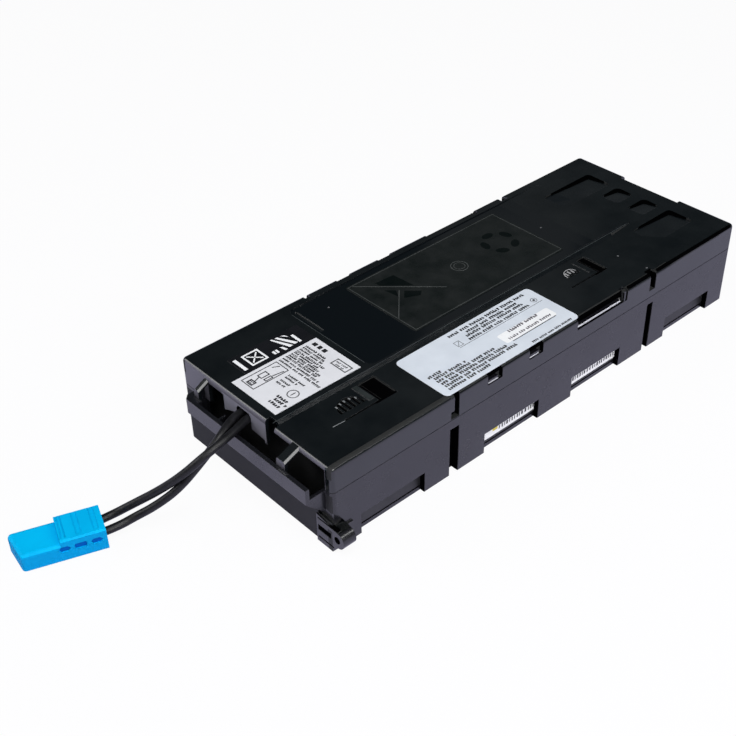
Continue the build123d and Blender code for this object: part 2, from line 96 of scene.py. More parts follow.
class Nodes:
    """Short calls that add nodes to an emptied node tree."""

    def __init__(self, tree):
        self.tree = tree
        self.tree.nodes.clear()

    def add(self, kind, **settings):
        """A new node of a kind, with its settings."""
        node = self.tree.nodes.new(kind)
        for key, value in settings.items():
            setattr(node, key, value)
        return node

    def link(self, source, target):
        """Joins an output to an input."""
        self.tree.links.new(source, target)

    def calculate(self, operation, first, second):
        """The result of an operation on an output and on another output or a number."""
        node = self.add("ShaderNodeMath", operation=operation)
        self.link(first, node.inputs[0])
        if isinstance(second, float):
            node.inputs[1].default_value = second
        else:
            self.link(second, node.inputs[1])
        return node.outputs[0]

    def colours(self, source, stops):
        """A colour ramp over source."""
        node = self.add("ShaderNodeValToRGB")
        ramp = node.color_ramp
        while len(ramp.elements) < len(stops):
            ramp.elements.new(0.5)
        for element, (at, colour) in zip(ramp.elements, stops):
            element.position = at
            element.color = (*colour, 1.0)
        self.link(source, node.inputs["Fac"])
        return node.outputs["Color"]

    def mixed(self, where, share, under, over):
        """One shader over another by a share, where a light path flag is set."""
        mix = self.add("ShaderNodeMixShader")
        self.link(self.calculate("MULTIPLY", where, share), mix.inputs["Fac"])
        self.link(under, mix.inputs[1])
        self.link(over, mix.inputs[2])
        return mix.outputs["Shader"]


class Shader(Nodes):
    """A node material with a Principled shader over the part's own coordinates."""

    def __init__(self, name):
        self.material = bpy.data.materials.new(name)
        self.material.use_nodes = True
        super().__init__(self.material.node_tree)
        self.out = self.add("ShaderNodeOutputMaterial")
        self.surface = self.add("ShaderNodeBsdfPrincipled")
        self.link(self.surface.outputs["BSDF"], self.out.inputs["Surface"])
        self.place = self.add("ShaderNodeTexCoord").outputs["Object"]

    def set(self, **values):
        """Constants of the Principled shader, by the names of its inputs."""
        for key, value in values.items():
            socket = self.surface.inputs[key.replace("_", " ")]
            socket.default_value = (*value, 1.0) if isinstance(value, tuple) else value

    def finish(self, colour, gloss):
        """Links the colour and the roughness."""
        self.link(colour, self.surface.inputs["Base Color"])
        self.link(gloss, self.surface.inputs["Roughness"])

    def noise(self, scale, detail=3.0, rough=0.5, stretch=None):
        """Noise over the object, scale in features per metre."""
        place = self.place
        if stretch:
            mapping = self.add("ShaderNodeMapping")
            mapping.inputs["Scale"].default_value = stretch
            self.link(place, mapping.inputs["Vector"])
            place = mapping.outputs["Vector"]
        node = self.add("ShaderNodeTexNoise")
        node.inputs["Scale"].default_value = scale
        node.inputs["Detail"].default_value = detail
        node.inputs["Roughness"].default_value = rough
        self.link(place, node.inputs["Vector"])
        return node.outputs["Fac"]

    def span(self, source, low, high):
        """A value between low and high that follows noise, as it runs from 0.3 to 0.7."""
        node = self.add("ShaderNodeMapRange")
        limits = {"From Min": 0.3, "From Max": 0.7, "To Min": low, "To Max": high}
        for key, value in limits.items():
            node.inputs[key].default_value = value
        self.link(source, node.inputs["Value"])
        return node.outputs["Result"]

    def near(self, source, low, high):
        """One where a value lies between low and high, else nought."""
        node = self.add("ShaderNodeMath", operation="COMPARE")
        self.link(source, node.inputs[0])
        node.inputs[1].default_value = (low + high) / 2
        node.inputs[2].default_value = (high - low) / 2
        return node.outputs[0]

    def zone(self, x=None, y=None, z=None, aside=None, facing=None):
        """A mask over a box of the part. aside is the distance from the middle plane."""
        split = self.add("ShaderNodeSeparateXYZ")
        self.link(self.place, split.inputs[0])
        found = [
            self.near(split.outputs[axis], limits[0] * MM, limits[1] * MM)
            for axis, limits in zip("XYZ", (x, y, z))
            if limits
        ]
        if aside:
            across = self.add("ShaderNodeMath", operation="ABSOLUTE")
            self.link(split.outputs["Y"], across.inputs[0])
            found.append(self.near(across.outputs[0], aside[0] * MM, aside[1] * MM))
        if facing:
            axis, low, high = facing
            turned = self.add("ShaderNodeSeparateXYZ")
            self.link(self.add("ShaderNodeTexCoord").outputs["Normal"], turned.inputs[0])
            found.append(self.near(turned.outputs[axis], low, high))
        mask = found[0]
        for other in found[1:]:
            mask = self.calculate("MULTIPLY", mask, other)
        return mask

    def blend(self, where, under, over):
        """A colour or a number that changes over to a constant where the mask is set."""
        if isinstance(over, tuple):
            node = self.add("ShaderNodeMix", data_type="RGBA")
            below, above, out = node.inputs[6], node.inputs[7], node.outputs[2]
            over = (*over, 1.0)
        else:
            node = self.add("ShaderNodeMix", data_type="FLOAT")
            below, above, out = node.inputs[2], node.inputs[3], node.outputs[0]
        self.link(where, node.inputs[0])
        self.link(under, below)
        above.default_value = over
        return out

    def glow(self, colour, strength):
        """An emission shader."""
        node = self.add("ShaderNodeEmission")
        node.inputs["Color"].default_value = (*colour, 1.0)
        node.inputs["Strength"].default_value = strength
        return node.outputs["Emission"]

    def bumps(self, layers, edge=0.0):
        """Bump layers of height, strength and distance, over edges rounded by a radius."""
        normal = None
        if edge > 0.0:
            bevel = self.add("ShaderNodeBevel", samples=6)
            bevel.inputs["Radius"].default_value = edge * MM
            normal = bevel.outputs["Normal"]
        for height, strength, distance in layers:
            bump = self.add("ShaderNodeBump")
            bump.inputs["Strength"].default_value = strength
            bump.inputs["Distance"].default_value = distance * MM
            self.link(height, bump.inputs["Height"])
            if normal:
                self.link(normal, bump.inputs["Normal"])
            normal = bump.outputs["Normal"]
        self.link(normal, self.surface.inputs["Normal"])


def moulded(name, dark, light, rough, grain, edge=0.45, spec=0.5, zones=()):
    """Moulded plastic: a little uneven in colour and gloss, with grain and soft edges."""
    made = Shader(name)
    made.set(Specular_IOR_Level=spec)
    colour = made.colours(made.noise(35.0, 4.0), [(0.35, dark), (0.68, light)])
    gloss = made.span(made.noise(90.0, 5.0, 0.65), *rough)
    # The zones lay flat colours and roughness over boxes of the part; most of those colours are
    # painted light or painted shade.
    for where, flat_colour, flat_rough in zones:
        mask = made.zone(**where)
        colour = made.blend(mask, colour, flat_colour)
        gloss = made.blend(mask, gloss, flat_rough)
    made.finish(colour, gloss)
    made.bumps(
        [(made.noise(14.0, 1.0), 0.25, 0.35), (made.noise(2600.0, 2.0), grain, 0.02)], edge
    )
    return made.material


def metal(name, colour, rough, brush):
    """Plated strip with a fine drawn grain."""
    made = Shader(name)
    made.set(Metallic=1.0)
    drawn = made.noise(900.0, 3.0, 0.6, brush)
    darker = tuple(channel * 0.8 for channel in colour)
    made.finish(made.colours(drawn, [(0.3, darker), (0.7, colour)]), made.span(drawn, *rough))
    made.bumps([(drawn, 0.15, 0.02)], 0.15)
    return made.material


def jacket(name, dark, light, rough):
    """A lead's soft jacket, with a faint sheen and rub marks."""
    made = Shader(name)
    made.set(Specular_IOR_Level=0.35)
    made.finish(
        made.colours(made.noise(160.0, 5.0, 0.7), [(0.45, dark), (0.78, light)]),
        made.span(made.noise(300.0, 3.0), *rough),
    )
    made.bumps([(made.noise(700.0, 3.0), 0.25, 0.05)])
    return made.material


def paper(name, dark, light, rough, fibre=0.12, spec=0.5):
    """Label stock, ink or a worn spot: almost even, with a faint fibre."""
    made = Shader(name)
    made.set(Specular_IOR_Level=spec)
    made.finish(
        made.colours(made.noise(60.0, 4.0), [(0.3, dark), (0.7, light)]),
        made.span(made.noise(120.0, 3.0), *rough),
    )
    made.bumps([(made.noise(1500.0, 3.0), fibre, 0.02), (made.noise(25.0, 1.0), 0.2, 0.2)], 0.1)
    return made.material


# Which faces a zone takes, by one axis of their normals.
TO_LEADS = ("X", -1.1, -0.7)
LEANING_TO_LEADS = ("X", -1.1, -0.4)
LEANING_TO_NEAR = ("Y", -1.1, -0.4)
UPWARDS = ("Z", 0.6, 1.1)
NOT_UPWARDS = ("Z", -1.1, 0.5)

# Zone colours. All but the panel's black are painted light or painted shade: the greys are painted
# light, the blacks and the side blue are painted shade.
DEEP_PAINTED_SHADE = (0.0012, 0.0020, 0.0022)
PANEL_BLACK = (0.0022, 0.0034, 0.0052)
END_PAINTED_LIGHT = (0.100, 0.096, 0.122)
SKIRT_PAINTED_LIGHT = (0.240, 0.235, 0.290)
TROUGH_PAINTED_SHADE = (0.006, 0.006, 0.009)
FOOT_PAINTED_SHADE = (0.004, 0.004, 0.006)
SIDE_BLUE_PAINTED_SHADE = (0.000, 0.31, 0.66)

# Zones as a box of the part, a colour and a roughness.
COVER_ZONES = (
    # The end faces around the leads and the tips of the arms are matt, and a paler grey is painted
    # on them as light.
    (dict(x=(-226.0, -208.0), y=(-74.0, 81.0), facing=TO_LEADS), END_PAINTED_LIGHT, 0.50),
    # The skirt hangs in shade, and a paler grey is painted on it as light.
    (
        dict(x=(-214.0, -208.0), y=(-14.6, 33.0), z=(50.0, 67.8), facing=TO_LEADS),
        SKIRT_PAINTED_LIGHT, 0.50,
    ),
    # The panel is glossier than the deck.
    (dict(x=(-124.5, 149.5), y=(-19.0, 72.0), z=(70.5, 71.2)), PANEL_BLACK, 0.12),
    # The side notches, the grooves, the latches and the scoops are deep, and dark with painted
    # shade.
    (dict(aside=(75.6, 79.0), z=(60.6, 70.4)), DEEP_PAINTED_SHADE, 0.80),
    (dict(x=(105.8, 113.2), aside=(73.0, 79.6), z=(48.0, 70.0)), DEEP_PAINTED_SHADE, 0.80),
    (dict(x=(-107.0, -98.8), aside=(75.0, 79.6), z=(48.0, 70.0)), DEEP_PAINTED_SHADE, 0.80),
    (dict(x=(-176.0, -127.0), y=(-52.0, -26.4), z=(64.0, 69.75)), DEEP_PAINTED_SHADE, 0.60),
    (dict(x=(50.0, 91.5), y=(-52.0, -26.4), z=(64.0, 69.75)), DEEP_PAINTED_SHADE, 0.60),
    (dict(x=(130.0, 193.0), z=(69.0, 71.6), facing=LEANING_TO_LEADS), DEEP_PAINTED_SHADE, 0.60),
    (dict(x=(130.0, 193.0), z=(69.0, 71.6), facing=LEANING_TO_NEAR), DEEP_PAINTED_SHADE, 0.60),
)
TRAY_ZONES = (
    # The trough's outer wall is matt towards its foot, and darker there with painted shade.
    (
        dict(x=(-230.0, -222.0), y=(-74.0, 57.5), z=(30.0, 46.0), facing=TO_LEADS),
        TROUGH_PAINTED_SHADE, 0.60,
    ),
    # Under the trough, the end wall is matt and darker with painted shade.
    (dict(x=(-213.0, -211.0), z=(0.0, 47.0), facing=TO_LEADS), FOOT_PAINTED_SHADE, 0.80),
    # The tongues' stems are dark with painted shade.
    (dict(aside=(75.5, 78.8), z=(49.7, 62.2)), DEEP_PAINTED_SHADE, 0.80),
    # So are the lug's top, its hollows and its eye.
    (dict(x=(-213.9, -203.0), y=(-86.0, -64.0), z=(19.5, 24.5), facing=UPWARDS), DEEP_PAINTED_SHADE, 0.25),
    (dict(x=(-213.4, -210.0), y=(-85.0, -64.0), z=(3.0, 22.2)), DEEP_PAINTED_SHADE, 0.80),
    (dict(x=(-213.4, -203.5), y=(-87.2, -81.6), z=(10.8, 16.4)), DEEP_PAINTED_SHADE, 0.80),
    # So are the grooves and the windows' ends.
    (dict(x=(-107.6, -98.6), aside=(73.4, 79.7), z=(-1.0, 42.2)), DEEP_PAINTED_SHADE, 0.70),
    (dict(x=(105.8, 113.2), aside=(73.4, 79.7), z=(-1.0, 43.7)), DEEP_PAINTED_SHADE, 0.70),
    (dict(aside=(75.4, 79.7), z=(-1.0, 17.9), facing=TO_LEADS), DEEP_PAINTED_SHADE, 0.70),
)
# The connector's sides are a deeper blue than its top, as painted shade.
BLUE_ZONES = ((dict(x=(-400.0, -250.0), facing=NOT_UPWARDS), SIDE_BLUE_PAINTED_SHADE, 0.58),)

# Each material's darker and lighter colour and its span of roughness, then what else it needs.
case_black = moulded(
    "case_black", (0.0030, 0.0042, 0.0055), (0.0070, 0.0086, 0.0100), (0.16, 0.25),
    grain=0.10, edge=0.30, spec=0.75, zones=COVER_ZONES,
)
tray_black = moulded(
    "tray_black", (0.0050, 0.0050, 0.0070), (0.0085, 0.0085, 0.0115), (0.20, 0.30),
    grain=0.14, edge=0.30, spec=0.70, zones=TRAY_ZONES,
)
# The tongues' noses are pale grey as a painted highlight.
hook_highlight_pale = moulded(
    "hook_highlight_pale", (0.50, 0.50, 0.54), (0.62, 0.62, 0.66), (0.30, 0.40), grain=0.05, edge=0.0
)
# Black for thin plates of painted shade in hollows and recesses.
painted_shade_black = moulded(
    "painted_shade_black", (0.0008, 0.0008, 0.0010), (0.0010, 0.0010, 0.0012), (0.85, 0.90),
    grain=0.0, edge=0.0, spec=0.0,
)
battery_black = moulded(
    "battery_black", (0.010, 0.010, 0.011), (0.016, 0.016, 0.017), (0.38, 0.50), grain=0.25
)
blue_plastic = moulded(
    "blue_plastic", (0.000, 0.43, 0.83), (0.000, 0.49, 0.90), (0.50, 0.60),
    grain=0.10, edge=0.3, spec=0.05, zones=BLUE_ZONES,
)
# A deeper blue, painted shade in the connector's key slots.
blue_painted_shade = moulded(
    "blue_painted_shade", (0.000, 0.10, 0.44), (0.000, 0.12, 0.50), (0.55, 0.65),
    grain=0.0, edge=0.0, spec=0.05,
)
socket_nylon = moulded(
    "socket_nylon", (0.045, 0.045, 0.05), (0.07, 0.07, 0.075), (0.35, 0.45), grain=0.1, edge=0.2
)
strap_plate = metal("strap_plate", (0.62, 0.61, 0.58), (0.25, 0.38), brush=(1.0, 1.0, 0.1))
tab_plate = metal("tab_plate", (0.70, 0.62, 0.42), (0.22, 0.34), brush=(0.2, 1.0, 1.0))
lead_black = jacket("lead_jacket", (0.004, 0.004, 0.005), (0.014, 0.014, 0.017), (0.36, 0.50))

white_paper = paper("white_paper", (0.74, 0.745, 0.79), (0.79, 0.795, 0.84), (0.40, 0.52))
silver_foil = paper("silver_foil", (0.66, 0.71, 0.79), (0.73, 0.78, 0.86), (0.32, 0.42))
block_paper = paper("block_paper", (0.90, 0.90, 0.90), (0.95, 0.95, 0.94), (0.45, 0.55))
black_film = paper("black_film", (0.006, 0.006, 0.008), (0.009, 0.009, 0.012), (0.22, 0.32))
panel_film = paper(
    "panel_film", (0.005, 0.007, 0.007), (0.012, 0.014, 0.014), (0.24, 0.48), fibre=0.3, spec=0.32
)
sheet_line = paper("sheet_line", (0.050, 0.055, 0.055), (0.075, 0.080, 0.080), (0.30, 0.42))
sheet_field = paper(
    "sheet_field", (0.001, 0.003, 0.003), (0.003, 0.005, 0.005), (0.30, 0.42), spec=0.10
)
ink_black = paper("ink_black", (0.012, 0.012, 0.014), (0.02, 0.02, 0.024), (0.4, 0.5))
ink_grey = paper("ink_grey", (0.07, 0.06, 0.08), (0.12, 0.11, 0.13), (0.4, 0.5))
print_white = paper("print_white", (0.92, 0.93, 0.96), (0.96, 0.97, 0.99), (0.35, 0.45))
spot_yellow = paper("spot_yellow", (0.62, 0.50, 0.04), (0.72, 0.60, 0.08), (0.40, 0.50))
# The next four are painted highlights, on the latches and along the deck's edges.
painted_glint_grey = paper("painted_glint_grey", (0.15, 0.16, 0.17), (0.24, 0.25, 0.26), (0.25, 0.35))
bar_highlight_grey = paper("bar_highlight_grey", (0.016, 0.020, 0.021), (0.032, 0.037, 0.038), (0.25, 0.35))
tip_highlight_pale = paper("tip_highlight_pale", (0.30, 0.30, 0.31), (0.42, 0.42, 0.43), (0.25, 0.35))
highlight_line_grey = paper("highlight_line_grey", (0.035, 0.042, 0.045), (0.070, 0.080, 0.085), (0.25, 0.35))
speck_grey = paper("speck_grey", (0.10, 0.10, 0.11), (0.16, 0.16, 0.17), (0.30, 0.42))

FINISH = {
    "lower_tray": tray_black,
    "top_cover": case_black,
    "connector_housing": blue_plastic,
    "wiring_label": white_paper,
    "info_label": silver_foil,
    "disposal_label": black_film,
    "panel_sticker": panel_film,
}


def finish_of(name):
    """The material of a CAD node, from its name."""
    if name in FINISH:
        return FINISH[name]
    if name.endswith("_label"):
        return block_paper
    if "_tab_" in name or "contact" in name:
        return tab_plate
    if "_socket_" in name:
        return socket_nylon
    if name.startswith("battery"):
        return battery_black
    if name.startswith(("jumper", "strap")):
        return strap_plate
    return lead_black


for name, node in nodes.items():
    node.data.materials.clear()
    node.data.materials.append(finish_of(name))


def lead(name, points):
    """A free lead on one smooth line."""
    curve = bpy.data.curves.new(name + "_line", "CURVE")
    curve.dimensions = "3D"
    spline = curve.splines.new("NURBS")
    spline.points.add(len(points) - 1)
    for place, point in zip(points, spline.points):
        point.co = (place[0] * MM, place[1] * MM, place[2] * MM, 1.0)
    spline.order_u = 3
    spline.use_endpoint_u = True
    spline.resolution_u = 16
    curve.bevel_depth = LEAD_RADIUS * MM
    curve.bevel_resolution = 8
    curve.use_fill_caps = True
    made = bpy.data.objects.new(name + "_jacket", curve)
    bpy.context.scene.collection.objects.link(made)
    made.data.materials.append(lead_black)
    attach(made, "root")
    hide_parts(name)


# Both leads leave the cable arch side by side, sink to the floor and end in the connector.
lead(
    "lead_negative",
    [
        (-205.0, 5.4, 61.2),
        (-213.4, 5.4, 61.2),
        (-225.5, 0.5, 61.9),
        (-239.2, -2.6, 61.4),
        (-255.1, -1.0, 55.6),
        (-267.9, 6.3, 43.2),
        (-279.1, 19.6, 28.3),
        (-292.0, 33.6, 15.3),
        (-303.4, 41.5, 8.0),
        (-311.739, 42.559, 8.0),
    ],
)
lead(
    "lead_positive",
    [
        (-205.0, 13.6, 61.2),
        (-213.2, 13.6, 61.2),
        (-224.6, 9.0, 62.5),
        (-236.4, 3.6, 60.3),
        (-252.9, 2.6, 49.7),
        (-270.4, 7.7, 32.5),
        (-284.3, 18.0, 18.9),
        (-295.1, 26.1, 11.3),
        (-306.1, 29.3, 8.0),
        (-315.844, 31.283, 8.0),
    ],
)


def add_corners(mesh, points):
    """New corners of a mesh, from points in mm."""
    return [mesh.verts.new((x * MM, y * MM, z * MM)) for x, y, z in points]


def add_band(mesh, here, there):
    """The faces between two closed rings of corners."""
    for k in range(len(here)):
        after = (k + 1) % len(here)
        mesh.faces.new((here[k], here[after], there[after], there[k]))


def add_solid(mesh, rings):
    """A closed solid through rings of points, with a cap at each end."""
    rings = [add_corners(mesh, ring) for ring in rings]
    for here, there in zip(rings, rings[1:]):
        add_band(mesh, here, there)
    mesh.faces.new(rings[0][::-1])
    mesh.faces.new(rings[-1])


def add_piece(name, mesh, material, smooth=False):
    """Makes the mesh a piece of the scene that rides on the body."""
    bmesh.ops.recalc_face_normals(mesh, faces=mesh.faces)
    data = bpy.data.meshes.new(name)
    mesh.to_mesh(data)
    mesh.free()
    for face in data.polygons:
        face.use_smooth = smooth
    made = bpy.data.objects.new(name, data)
    bpy.context.scene.collection.objects.link(made)
    data.materials.append(material)
    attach(made, "root")


def circle(centre, radius, parts):
    """Points around a circle in plan."""
    turns = [math.tau * k / parts for k in range(parts)]
    return [(centre[0] + radius * math.cos(a), centre[1] + radius * math.sin(a)) for a in turns]


def rounded_bar(x, y, radius, parts=5):
    """Points around a rectangle in plan with rounded corners."""
    points = []
    for corner, (cx, cy) in enumerate(((x[1], y[1]), (x[0], y[1]), (x[0], y[0]), (x[1], y[0]))):
        cx += radius if cx == x[0] else -radius
        cy += radius if cy == y[0] else -radius
        for k in range(parts + 1):
            turn = math.pi / 2 * (corner + k / parts)
            points.append((cx + radius * math.cos(turn), cy + radius * math.sin(turn)))
    return points


TOWARDS_MINUS_Y = Vector((0.0, -1.0))
TOWARDS_PLUS_X = Vector((1.0, 0.0))

# Styles of fine print: the weight of a stroke and the pitch of strokes, by the height of the row.
LIGHT = (0.36, 0.80)
BOLD = (0.52, 0.84)
CLOSE = (0.44, 0.74)
LOOSE = (0.46, 0.78)
INSET_BOLD = (0.44, 0.80)
INSET_LIGHT = (0.40, 0.80)

# How far each plate reaches into the surface that it lies on.
SUNK = 0.03


class Print:
    """Flat shapes on one level surface, each a thin closed plate, gathered in one mesh."""

    def __init__(self, top, thickness=0.04):
        self.mesh = bmesh.new()
        self.low, self.high = top - SUNK, top + thickness

    def shape(self, points):
        """A plate over an outline in plan."""
        add_solid(self.mesh, [[(x, y, z) for x, y in points] for z in (self.low, self.high)])

    def bar(self, x, y):
        """A rectangle from its spans."""
        self.shape([(x[0], y[0]), (x[1], y[0]), (x[1], y[1]), (x[0], y[1])])

    def frame(self, x, y, width):
        """The outline of a rectangle."""
        self.bar(x, (y[0], y[0] + width))
        self.bar(x, (y[1] - width, y[1]))
        self.bar((x[0], x[0] + width), (y[0] + width, y[1] - width))
        self.bar((x[1] - width, x[1]), (y[0] + width, y[1] - width))

    def line(self, start, end, width):
        """A straight line between two points."""
        start, end = Vector(start), Vector(end)
        run = end - start
        side = Vector((-run.y, run.x)).normalized() * width / 2
        self.shape([start - side, end - side, end + side, start + side])

    def ring(self, centre, radius, width, parts=28):
        """A round ring."""
        inside = radius - width
        rings = [
            add_corners(self.mesh, [(x, y, z) for x, y in circle(centre, reach, parts)])
            for reach, z in (
                (radius, self.high), (radius, self.low), (inside, self.low), (inside, self.high)
            )
        ]
        for here, there in zip(rings, rings[1:] + rings[:1]):
            add_band(self.mesh, here, there)

    def row(self, start, along, length, height, seed, style=LIGHT):
        """A row of small strokes in groups, as fine print looks from afar. It spells nothing."""
        draw = random.Random(seed)
        weight, pitch = style[0] * height, style[1] * height
        start, up = Vector(start), Vector((-along.y, along.x))
        at, group = 0.0, draw.randint(3, 8)
        while at < length:
            here = start + along * at
            tall = up * height * draw.choice((0.78, 0.9, 1.0))
            self.shape([here, here + along * weight, here + along * weight + tall, here + tall])
            if draw.random() < 0.85:
                low = here + up * height * draw.choice((0.0, 0.3, 0.5)) + along * weight
                far, rise = low + along * (pitch - weight) * 0.62, up * weight
                self.shape([low, far, far + rise, low + rise])
            at += pitch
            group -= 1
            if group == 0:
                group = draw.randint(3, 8)
                at += height * 0.55

    def rows_across(self, rows, height, seed, style, lift):
        """Rows towards -Y, each given by its middle along X and its ends along Y."""
        for k, (x, start, end) in enumerate(rows):
            self.row((x - lift, start), TOWARDS_MINUS_Y, start - end, height, seed + k, style)

    def rows_along(self, rows, height, seed, style, lift):
        """Rows towards +X, each given by its middle along Y and its ends along X."""
        for k, (y, start, end) in enumerate(rows):
            self.row((start, y - lift), TOWARDS_PLUS_X, end - start, height, seed + k, style)

    def done(self, name, material):
        """Makes one piece of all the shapes."""
        add_piece(name, self.mesh, material)


def plates(name, boxes, material):
    """One piece of thin plates, each given by its spans along X, Y and Z."""
    mesh = bmesh.new()
    for x, y, z in boxes:
        plan = ((x[0], y[0]), (x[1], y[0]), (x[1], y[1]), (x[0], y[1]))
        add_solid(mesh, [[(px, py, height) for px, py in plan] for height in z])
    add_piece(name, mesh, material)


def beside(side, near, far):
    """Two distances from the middle plane, as a span along Y on one side."""
    return tuple(sorted((side * near, side * far)))


def hook_noses():
    """The rounded edges of the tongues that hook into the side notches, pale grey as a painted
    highlight.
    """
    nose_y = 79.0
    for side, word in SIDES:
        for number, ((start, end), z, radius) in enumerate(
            zip(NOTCHES, (61.95, 61.95, 63.4), (0.6, 0.6, 0.9))
        ):
            start, end = start + 1.6, end - 4.4
            mesh = bmesh.new()
            bmesh.ops.create_uvsphere(mesh, u_segments=14, v_segments=10, radius=radius * MM)
            for vert in mesh.verts:
                if vert.co.z > 1e-7:
                    vert.co.z += (end - start) * MM
            bmesh.ops.transform(
                mesh,
                matrix=Matrix.Translation(Vector((start, side * nose_y, z)) * MM)
                @ Vector((1.0, 0.0, 0.0)).to_track_quat("Z", "Y").to_matrix().to_4x4(),
                verts=mesh.verts,
            )
            name = "hook_nose_%s_%d" % (word, number + 1)
            add_piece(name, mesh, hook_highlight_pale, smooth=True)


def block_prints():
    """What shows of the blocks' labels through the windows: ticks, and a yellow spot."""
    tick_z, spot_x, spot_z = (9.0, 12.2), (-59.5, -54.2), (10.2, 14.4)
    for number, side in ((2, -1), (3, -1), (1, 1), (4, 1)):
        low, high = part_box("battery_%d_label" % number)
        draw = random.Random(200 + number)
        level = beside(side, BLOCK_LABEL_Y - 0.02, BLOCK_LABEL_Y + 0.03)
        ticks = []
        at = -53.0 if number == 2 else low[0] / MM + 9.0
        while at < high[0] / MM - 5.0:
            wide = draw.choice((1.0, 1.3, 1.8))
            ticks.append(((at, at + wide), level, tick_z))
            at += wide + draw.choice((1.1, 1.4, 1.8))
        plates("battery_%d_ticks" % number, ticks, ink_black)
    level = beside(-1, BLOCK_LABEL_Y - 0.02, BLOCK_LABEL_Y + 0.06)
    plates("battery_2_spot", [(spot_x, level, spot_z)], spot_yellow)


def latch_highlights():
    """Painted highlights on the two latches: the ribs' tips, a bar and the rim of a slot."""
    shine = Print(LOW_DECK_Z + 0.1, 0.03)
    for x, y in (
        (-169.4, -34.6), (-165.4, -33.4), (-161.5, -33.0), (-157.2, -33.2), (-153.4, -35.2)
    ):
        shine.bar((x - 0.55, x + 0.55), (y - 2.2, y))
    shine.done("latch_1_tip_highlights", painted_glint_grey)
    shine = Print(LOW_DECK_Z + 0.5, 0.03)
    shine.bar((-148.5, -144.5), (-45.0, -27.3))
    shine.done("latch_1_bar_highlight", bar_highlight_grey)
    shine = Print(LOW_DECK_Z, 0.03)
    shine.line((-184.0, -48.9), (-174.0, -49.6), 0.7)
    shine.done("latch_1_slot_end_highlight", painted_glint_grey)
    shine = Print(LOW_DECK_Z + 0.1, 0.05)
    arch = (
        (58.6, -38.6), (59.4, -34.6), (61.6, -32.0), (64.4, -31.0), (67.4, -31.2), (70.0, -33.0),
        (70.8, -36.0),
    )
    for start, end in zip(arch, arch[1:]):
        shine.line(start, end, 0.7)
    for x, y in ((61.4, -33.2), (64.6, -32.6), (67.8, -33.2)):
        shine.bar((x - 0.65, x + 0.65), (y - 3.8, y))
    shine.done("latch_2_tip_highlights", tip_highlight_pale)


def side_hollow_shades():
    """Thin black plates of painted shade on the walls of the notches, the grooves and the windows'
    ends.
    """
    for side, word in SIDES:
        notch_back, notch_end = beside(side, 76.7, 76.9), beside(side, 76.9, 79.8)
        groove_back, groove_end = beside(side, 73.4, 73.6), beside(side, 73.6, 79.4)
        backs = []
        for start, end in NOTCHES:
            backs.append(((start, end), notch_back, (64.9, 69.9)))
            backs.append(((end - 0.1, end + 0.1), notch_end, (61.1, 68.9)))
            backs.append(((start, end), beside(side, 78.8, 79.9), (60.9, 61.1)))
        # The groove by the leads, in the cover and then in the tray.
        cover_back = beside(side, 75.5, 75.7)
        backs.append(((-106.7, -99.0), cover_back, (50.5, 56.8)))
        backs.append(((-103.6, -99.0), cover_back, (56.8, 70.3)))
        backs.append(((-99.1, -98.9), beside(side, 75.7, 79.4), (50.5, 70.0)))
        backs.append(((-107.5, -98.7), groove_back, (0.2, 42.0)))
        backs.append(((-98.8, -98.6), groove_end, (0.2, 42.0)))
        # The far groove, in the tray and then in the cover.
        far_end = (FAR_GROOVE[1] - 0.1, FAR_GROOVE[1] + 0.1)
        backs.append((FAR_GROOVE, groove_back, (0.2, 43.5)))
        backs.append((FAR_GROOVE, groove_back, (56.0, 70.8)))
        backs.append((far_end, groove_end, (0.2, 43.5)))
        backs.append((far_end, groove_end, (56.0, 69.0)))
        for end in WINDOW_ENDS:
            backs.append(((end - 0.1, end + 0.1), beside(side, 75.7, 79.7), (0.2, 17.8)))
        plates("side_hollows_%s" % word, backs, painted_shade_black)


def latch_hollow_shades():
    """Thin black plates of painted shade in the slot beside each latch, in its pocket and under its
    grip.
    """
    for number, (start, end) in enumerate(POCKETS):
        depths = [
            ((start - 30.4, end), (-49.9, -48.7), (69.3, 69.4)),
            ((start - 3.9, end - 0.1), (-50.8, -48.5), (69.4, 69.5)),
            ((start + 0.5, start + 2.5), POCKET_Y, (68.9, 69.0)),
            ((end - 1.5, end - 0.5), POCKET_Y, (68.9, 69.0)),
            (
                (start + 2.7, end - 1.7), (POCKET_Y[0] + 0.1, POCKET_Y[1] + 0.1), (69.0, 69.1),
            ),
        ]
        plates("latch_%d_hollows" % (number + 1), depths, painted_shade_black)
    for number, (x, radius) in enumerate(GRIPS):
        middle, reach = -31.4 - radius, radius - 0.1
        floor_y = max(-46.0, middle - 1.0)
        turns = [math.pi * (0.5 - k / 24) for k in range(25)]
        arc = [(x + reach * math.sin(a), middle + reach * math.cos(a)) for a in turns]
        grip = Print(68.8, 0.1)
        grip.shape([(arc[0][0], floor_y), *arc, (arc[-1][0], floor_y)])
        grip.done("latch_%d_grip_floor" % (number + 1), painted_shade_black)


def lug_hollow_shades():
    """Thin black plates of painted shade in the corner lug's slots and in its eye."""
    slots = (((20.3, 21.7), -84.4), ((10.3, 15.3), -78.3), ((3.5, 5.1), -80.9))
    boxes = [((-213.3, -210.5), (end, -65.5), z) for z, end in slots]
    plates("lug_hollow_shades", boxes, painted_shade_black)
    eye = bmesh.new()
    bmesh.ops.create_cone(
        eye, cap_ends=True, segments=28, radius1=2.7 * MM, radius2=2.7 * MM, depth=0.2 * MM,
        matrix=Matrix.Translation(Vector((-213.72, -84.4, 13.6)) * MM)
        @ Matrix.Rotation(math.pi / 2, 4, "Y"),
    )
    add_piece("lug_eye_shade", eye, painted_shade_black)


